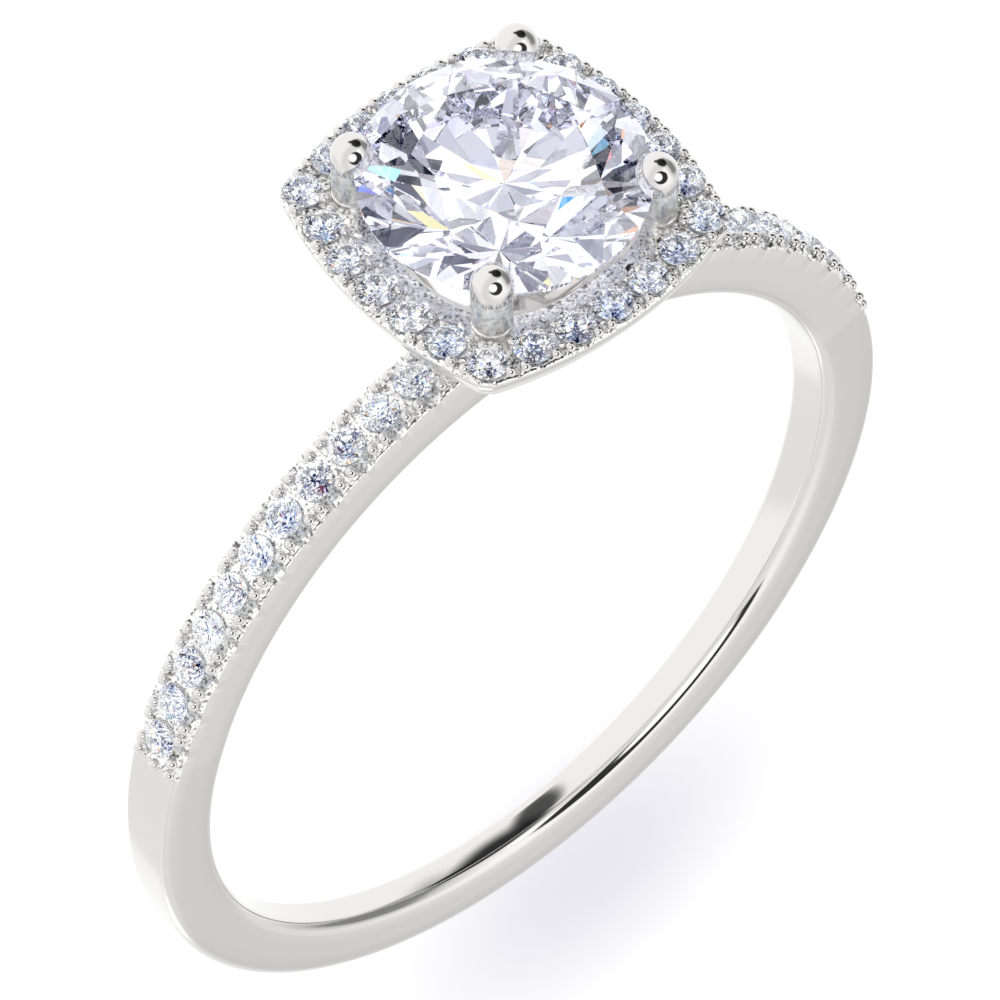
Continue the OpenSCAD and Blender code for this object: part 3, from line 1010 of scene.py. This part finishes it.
class RING_OT_claws(bpy.types.Operator):
    """Build the four claws, notched for the centre stone, and the basket below them"""

    bl_idname = "ring.claws"
    bl_label = "Claws and basket"

    def execute(self, context):
        metal = polished_white_gold(context.scene)
        rubbed = burnished_white_gold(context.scene)
        burnished = [(rubbed, lambda face: 0 < face // CLAW_SIDES <= POST_STEPS)]
        k = Halo(context.scene)
        room = add_piece("stone_room", *stone_room(k), metal, METAL_SLOT, ["setting"], FLAT)
        for name, sx, sy in (
            ("claw_near_left", -1, -1), ("claw_near_right", 1, -1),
            ("claw_far_left", -1, 1), ("claw_far_right", 1, 1),
        ):
            shape = lathe(claw_profile(k), (sx * k.claw_off, sy * k.claw_off), CLAW_SIDES)
            claw = add_piece(name, *shape, metal, METAL_SLOT, ["setting"], FLAT, burnished)
            notch(claw, room)
            smooth_to(claw.data, METAL_CREASE)
        bpy.data.objects.remove(room)
        add_piece("basket", *basket_mesh(context.scene), metal, METAL_SLOT, ["setting"], METAL_CREASE)
        return {"FINISHED"}


class RING_OT_centre_stone(bpy.types.Operator):
    """Cut the centre stone"""

    bl_idname = "ring.centre_stone"
    bl_label = "Centre stone"

    def execute(self, context):
        k = Halo(context.scene)
        stone = cut_brilliant(k.g.centre_radius, k.g, CENTRE_SIDES)
        shape = placed(stone, Matrix.Translation((0, 0, k.girdle)))
        add_piece("centre_brilliant", *shape, cut_diamond(context.scene), STONE_SLOT, ["centre_stone"], FLAT)
        return {"FINISHED"}


class RING_OT_small_stones(bpy.types.Operator):
    """Cut the small stones of the halo and of the two shoulders"""

    bl_idname = "ring.small_stones"
    bl_label = "Small stones"

    def execute(self, context):
        halo, shank = Halo(context.scene), Shank(context.scene)
        g = halo.g
        stone = cut_brilliant(g.melee_radius, g, SMALL_SIDES)
        gem = small_diamond(context.scene)
        rise = Matrix.Translation((0, 0, shank.outer + g.proud))
        fields = {"halo": [
            Matrix.Translation((x, y, halo.top + g.proud)) @ Matrix.Rotation(turn, 4, "Z")
            for x, y, turn in halo.stones
        ]}
        for side, name in ((-1, "left_shoulder"), (1, "right_shoulder")):
            fields[name] = [Matrix.Rotation(side * turn, 4, "Y") @ rise for turn in shank.stones]
        for name, places in fields.items():
            shape = joined([placed(stone, place) for place in places])
            piece = add_piece(name + "_brilliants", *shape, gem, STONE_SLOT, [name + "_stones"], FLAT)
            mark_middles(piece, stone[0], g.melee_radius)
        return {"FINISHED"}


def camera_turn(studio):
    """The camera's place and turn round the point it looks at."""
    a, e = studio.azimuth, studio.elevation
    back = Vector((math.sin(a) * math.cos(e), -math.cos(a) * math.cos(e), math.sin(e)))
    upright = back.to_track_quat("Z", "Y").to_matrix().to_4x4()
    place = Matrix.Translation(Vector(studio.aim) + back * studio.distance)
    return place @ upright @ Matrix.Rotation(studio.roll, 4, "Z")


class RING_OT_stage(bpy.types.Operator):
    """Set up the floor, the light and the camera"""

    bl_idname = "ring.stage"
    bl_label = "Studio"

    def execute(self, context):
        scene = context.scene
        studio = scene.ring_studio
        camera = bpy.data.objects.new("camera", bpy.data.cameras.new("camera"))
        scene.collection.objects.link(camera)
        camera.data.lens = studio.lens
        camera.data.clip_start = 1 * MM
        camera.data.clip_end = 100.0
        camera.matrix_world = camera_turn(studio)
        scene.camera = camera
        half = 1.0  # of the sheet's width
        mesh = bpy.data.meshes.new("floor")
        corners = [(-half, -half, 0), (half, -half, 0), (half, half, 0), (-half, half, 0)]
        mesh.from_pydata(corners, [], [(0, 1, 2, 3)])
        floor = bpy.data.objects.new("floor", mesh)
        scene.collection.objects.link(floor)
        mesh.materials.append(clear_sheet(scene))
        floor.visible_glossy = False
        floor.visible_transmission = False
        studio_light(scene)
        scene.view_settings.view_transform = "Standard"
        # Light turns many times inside a brilliant before it finds its way out.
        scene.cycles.glossy_bounces = 28
        scene.cycles.transmission_bounces = 28
        scene.cycles.max_bounces = 32
        return {"FINISHED"}


def direction(azimuth, elevation):
    """A unit vector from degrees round the ring, from in front, and degrees above the floor."""
    a, e = math.radians(azimuth), math.radians(elevation)
    return math.sin(a) * math.cos(e), -math.cos(a) * math.cos(e), math.sin(e)


def round_card(tree, way, towards, radius, edge, shade):
    """What a round card leaves of the light from a direction: shade on the card, 1 off it.

    Directions are azimuth and elevation, and all angles are in degrees.
    """
    along_card = {"operation": "DOT_PRODUCT", 1: direction(*towards)}
    facing = add_node(tree, "ShaderNodeVectorMath", along_card, i0=way)
    inner, outer = math.cos(math.radians(radius)), math.cos(math.radians(radius + edge))
    card = add_node(
        tree, "ShaderNodeMapRange",
        {"From Min": outer, "From Max": inner, "To Min": 1.0, "To Max": shade,
         "interpolation_type": "SMOOTHSTEP"},
        Value=facing.outputs["Value"],
    )
    return card.outputs["Result"]


def crescent_card(tree, way, towards, radius, hole_towards, hole_radius, edge, shade):
    """The same for a round card with a round hole that is off its middle."""
    card = round_card(tree, way, towards, radius, edge, shade)
    around_hole = round_card(tree, way, hole_towards, hole_radius, edge, 0.0)
    hole = add_node(tree, "ShaderNodeMath", {"operation": "SUBTRACT", 0: 1.0}, i1=around_hole)
    both = add_node(tree, "ShaderNodeMath", {"operation": "MAXIMUM"}, i0=card, i1=hole.outputs["Value"])
    return both.outputs["Value"]


def strip_card(tree, way, start, end, radius, edge, shade):
    """The same for a long strip between two directions."""
    first, last = Vector(direction(*start)), Vector(direction(*end))
    beside, middle = first.cross(last).normalized(), (first + last).normalized()
    off = add_node(tree, "ShaderNodeVectorMath", {"operation": "DOT_PRODUCT", 1: beside}, i0=way)
    size = add_node(tree, "ShaderNodeMath", {"operation": "ABSOLUTE"}, i0=off.outputs["Value"])
    side = add_node(
        tree, "ShaderNodeMapRange",
        {"From Min": math.sin(math.radians(radius + edge)), "From Max": math.sin(math.radians(radius)),
         "interpolation_type": "SMOOTHSTEP"},
        Value=size.outputs["Value"],
    )
    facing = add_node(tree, "ShaderNodeVectorMath", {"operation": "DOT_PRODUCT", 1: middle}, i0=way)
    reach = first.angle(last) / 2
    ends = add_node(
        tree, "ShaderNodeMapRange",
        {"From Min": math.cos(reach + math.radians(edge)), "From Max": math.cos(reach),
         "interpolation_type": "SMOOTHSTEP"},
        Value=facing.outputs["Value"],
    )
    both = left_by(tree, side.outputs["Result"], [ends.outputs["Result"]])
    card = add_node(tree, "ShaderNodeMapRange", {"To Min": 1.0, "To Max": shade}, Value=both)
    return card.outputs["Result"]


def left_by(tree, light, cards):
    """What a row of cards leaves of the light."""
    for card in cards:
        left = add_node(tree, "ShaderNodeMath", {"operation": "MULTIPLY"}, i0=light, i1=card)
        light = left.outputs["Value"]
    return light


# The shades of the stones' sheets and flags, in linear red, green and blue.
BLACK, SLATE, PALE, FAINT = (0.01, 0.014, 0.03), (0.28, 0.29, 0.34), (0.5, 0.51, 0.55), (0.8, 0.81, 0.84)
BLUE, VIOLET, YELLOW, CREAM = (0.1, 0.15, 0.4), (0.15, 0.25, 0.95), (1.0, 0.95, 0.5), (1.0, 0.95, 0.55)
CORAL, AMBER = (0.95, 0.4, 0.15), (0.95, 0.5, 0.2)
# Where they hang: azimuth, elevation, radius and soft edge, all in degrees, and shade.
STONE_FLAGS = (
    # What the facets throw back from inside: pale and slate ones for the greys.
    (172, 5, 15, 3, PALE), (156, -8, 5, 1, PALE), (-175, 39, 8, 1, FAINT), (124, 52, 6, 1, PALE),
    (-122, -14, 8, 1, PALE), (-153, -24, 9, 1, SLATE), (146, 33, 8, 1, SLATE), (-160, 33, 3, 1, SLATE),
    (-124, 50, 3, 1, SLATE), (-120, 14, 5, 1, SLATE),
    # Black ones for the dark facets.
    (-141, 21, 7, 1, BLACK), (-160, 48, 6, 1, BLACK), (-137, 51, 3.5, 1, BLACK), (-168, 61, 4, 1, BLACK),
    (-151, 35, 9, 3, BLACK), (-119, 70, 6, 1, BLACK), (-129, 40, 4, 1, BLACK), (-103, 37, 4, 1, BLACK),
    # Small coloured ones, for its fire.
    (-115, 42, 3, 1, BLUE), (-96, 72, 3, 1, VIOLET), (171, 46, 2, 1, YELLOW), (-94, 33, 3, 1, CORAL),
    (-158, 13, 2, 1, CREAM), (-128, 14, 2, 1, AMBER),
    # Those that the table and the crown mirror.
    (154, -21, 8, 2, PALE), (-170, -36, 10, 2, BLACK), (-166, -68, 12, 3, BLACK), (108, 7, 10, 2, BLACK),
    (-140, -22, 5, 2, SLATE), (-128, -38, 8, 2, SLATE), (100, 12, 12, 3, SLATE), (90, -28, 14, 4, PALE),
)
# How far red and blue are pulled apart from green, and which way.
PULLS = {"Red": -0.006, "Green": 0.0, "Blue": 0.006}
PULL_WAY = Vector((0.5, -0.3, 0.8))


def stone_light(tree, way):
    """The tent as the stones show it, with red and blue pulled apart as diamond does: that is its fire."""
    channels = {}
    for i, (channel, pull) in enumerate(PULLS.items()):
        bent = add_node(tree, "ShaderNodeVectorMath", {"operation": "ADD", 1: PULL_WAY * pull}, i0=way)
        bent = add_node(tree, "ShaderNodeVectorMath", {"operation": "NORMALIZE"}, i0=bent.outputs["Vector"])
        bent = bent.outputs["Vector"]
        panes = add_node(tree, "ShaderNodeTexVoronoi", {"Scale": 3.0}, Vector=bent)
        pane = add_node(tree, "ShaderNodeSeparateColor", Color=panes.outputs["Color"])
        slate, pale, white = [(tone, tone, tone, 1) for tone in (SLATE[i], PALE[i], 1)]
        tones = add_node(
            tree, "ShaderNodeValToRGB", {"steps": ((0.0, slate), (0.04, pale), (0.1, white))},
            Fac=pane.outputs["Red"],
        )
        cards = [
            round_card(tree, bent, (azimuth, elevation), radius, edge, shade[i])
            for azimuth, elevation, radius, edge, shade in STONE_FLAGS
        ]
        channels[channel] = left_by(tree, tones.outputs["Color"], cards)
    light = add_node(tree, "ShaderNodeCombineColor", **channels)
    return add_node(tree, "ShaderNodeBackground", {"Strength": 1.44}, Color=light.outputs["Color"])


def metal_light(tree, way):
    """The tent as the metal mirrors it: a little brighter overhead and below, with cards for its streaks."""
    height = add_node(tree, "ShaderNodeSeparateXYZ", Vector=way).outputs["Z"]
    above = {"From Min": 0.35, "From Max": 1.0, "To Min": 1.0, "To Max": 1.36}
    below = {"From Min": -0.25, "From Max": 0.2, "To Min": 1.12, "To Max": 0.9}
    above, below = [
        add_node(tree, "ShaderNodeMapRange", {**span, "interpolation_type": "SMOOTHSTEP"}, Value=height)
        for span in (above, below)
    ]
    # Each card's direction, radius, soft edge and shade. One brighter than 1 is a softbox.
    cards = (
        # Black ones: a round one, and a crescent that marks each claw's tip, with a softbox in its hole.
        round_card(tree, way, (150, 3), 19, 8, 0.03),
        crescent_card(tree, way, (-133, 66), 33, (-128, 50), 20, 4, 0.03),
        round_card(tree, way, (-128, 49), 17, 5, 1.3),
        # The dark streak in the finger hole.
        round_card(tree, way, (168, -17), 5, 6, 0.08),
        # Grey ones.
        strip_card(tree, way, (136, -6), (84, 30), 12, 12, 0.42),
        round_card(tree, way, (95, 25), 20, 20, 0.75),
        round_card(tree, way, (22, -8), 20, 12, 0.8),
        round_card(tree, way, (-50, -32), 20, 10, 0.86),
        # Two more softboxes.
        round_card(tree, way, (-12, -8), 7, 4, 1.3),
        round_card(tree, way, (157, 45), 7, 4, 1.35),
    )
    light = left_by(tree, above.outputs["Result"], [below.outputs["Result"], *cards])
    return add_node(tree, "ShaderNodeBackground", {"Color": linear("#FFFFFF")}, Strength=light)


def studio_light(scene):
    """A white tent, plain to the camera and with cards in it for the metal and for the stones."""
    world = bpy.data.worlds.new("white_tent")
    scene.world = world
    world.use_nodes = True
    tree = world.node_tree
    tree.nodes.clear()
    way = add_node(tree, "ShaderNodeTexCoord").outputs["Generated"]
    tent, through_stones = metal_light(tree, way), stone_light(tree, way)
    backdrop = add_node(tree, "ShaderNodeBackground", {"Color": linear("#FFFFFF"), "Strength": 1.1})
    seen = add_node(tree, "ShaderNodeLightPath")
    mirrored = add_node(
        tree, "ShaderNodeMixShader", i0=seen.outputs["Is Singular Ray"],
        i1=tent.outputs["Background"], i2=through_stones.outputs["Background"],
    )
    both = add_node(
        tree, "ShaderNodeMixShader", i0=seen.outputs["Is Camera Ray"],
        i1=mirrored.outputs["Shader"], i2=backdrop.outputs["Background"],
    )
    add_node(tree, "ShaderNodeOutputWorld", Surface=both.outputs["Shader"])


class RING_PT_panel(bpy.types.Panel):
    """Lists the steps that build the ring"""

    bl_idname = "RING_PT_panel"
    bl_label = "Halo Ring"
    bl_space_type = "VIEW_3D"
    bl_region_type = "UI"
    bl_category = "Halo Ring"

    def draw(self, context):
        for step in STEPS:
            self.layout.operator(step.bl_idname)
        for group in GROUPS:
            settings = getattr(context.scene, group)
            box = self.layout.box()
            for name in settings.bl_rna.properties.keys():
                if name not in {"rna_type", "name"}:
                    box.prop(settings, name)


GROUPS = {
    "ring_shank": RingShank,
    "ring_stones": RingStones,
    "ring_head": RingHead,
    "ring_looks": RingLooks,
    "ring_studio": RingStudio,
}
STEPS = (
    RING_OT_stage, RING_OT_shank, RING_OT_halo, RING_OT_beads, RING_OT_claws,
    RING_OT_centre_stone, RING_OT_small_stones,
)


def register():
    for group in GROUPS.values():
        bpy.utils.register_class(group)
    for step in (*STEPS, RING_PT_panel):
        bpy.utils.register_class(step)
    for name, group in GROUPS.items():
        setattr(bpy.types.Scene, name, bpy.props.PointerProperty(type=group))


def unregister():
    for name in GROUPS:
        delattr(bpy.types.Scene, name)
    for step in (*STEPS, RING_PT_panel):
        bpy.utils.unregister_class(step)
    for group in GROUPS.values():
        bpy.utils.unregister_class(group)


def main():
    register()
    for step in STEPS:
        family, name = step.bl_idname.split(".")
        getattr(getattr(bpy.ops, family), name)()


if __name__ == "__main__":
    main()
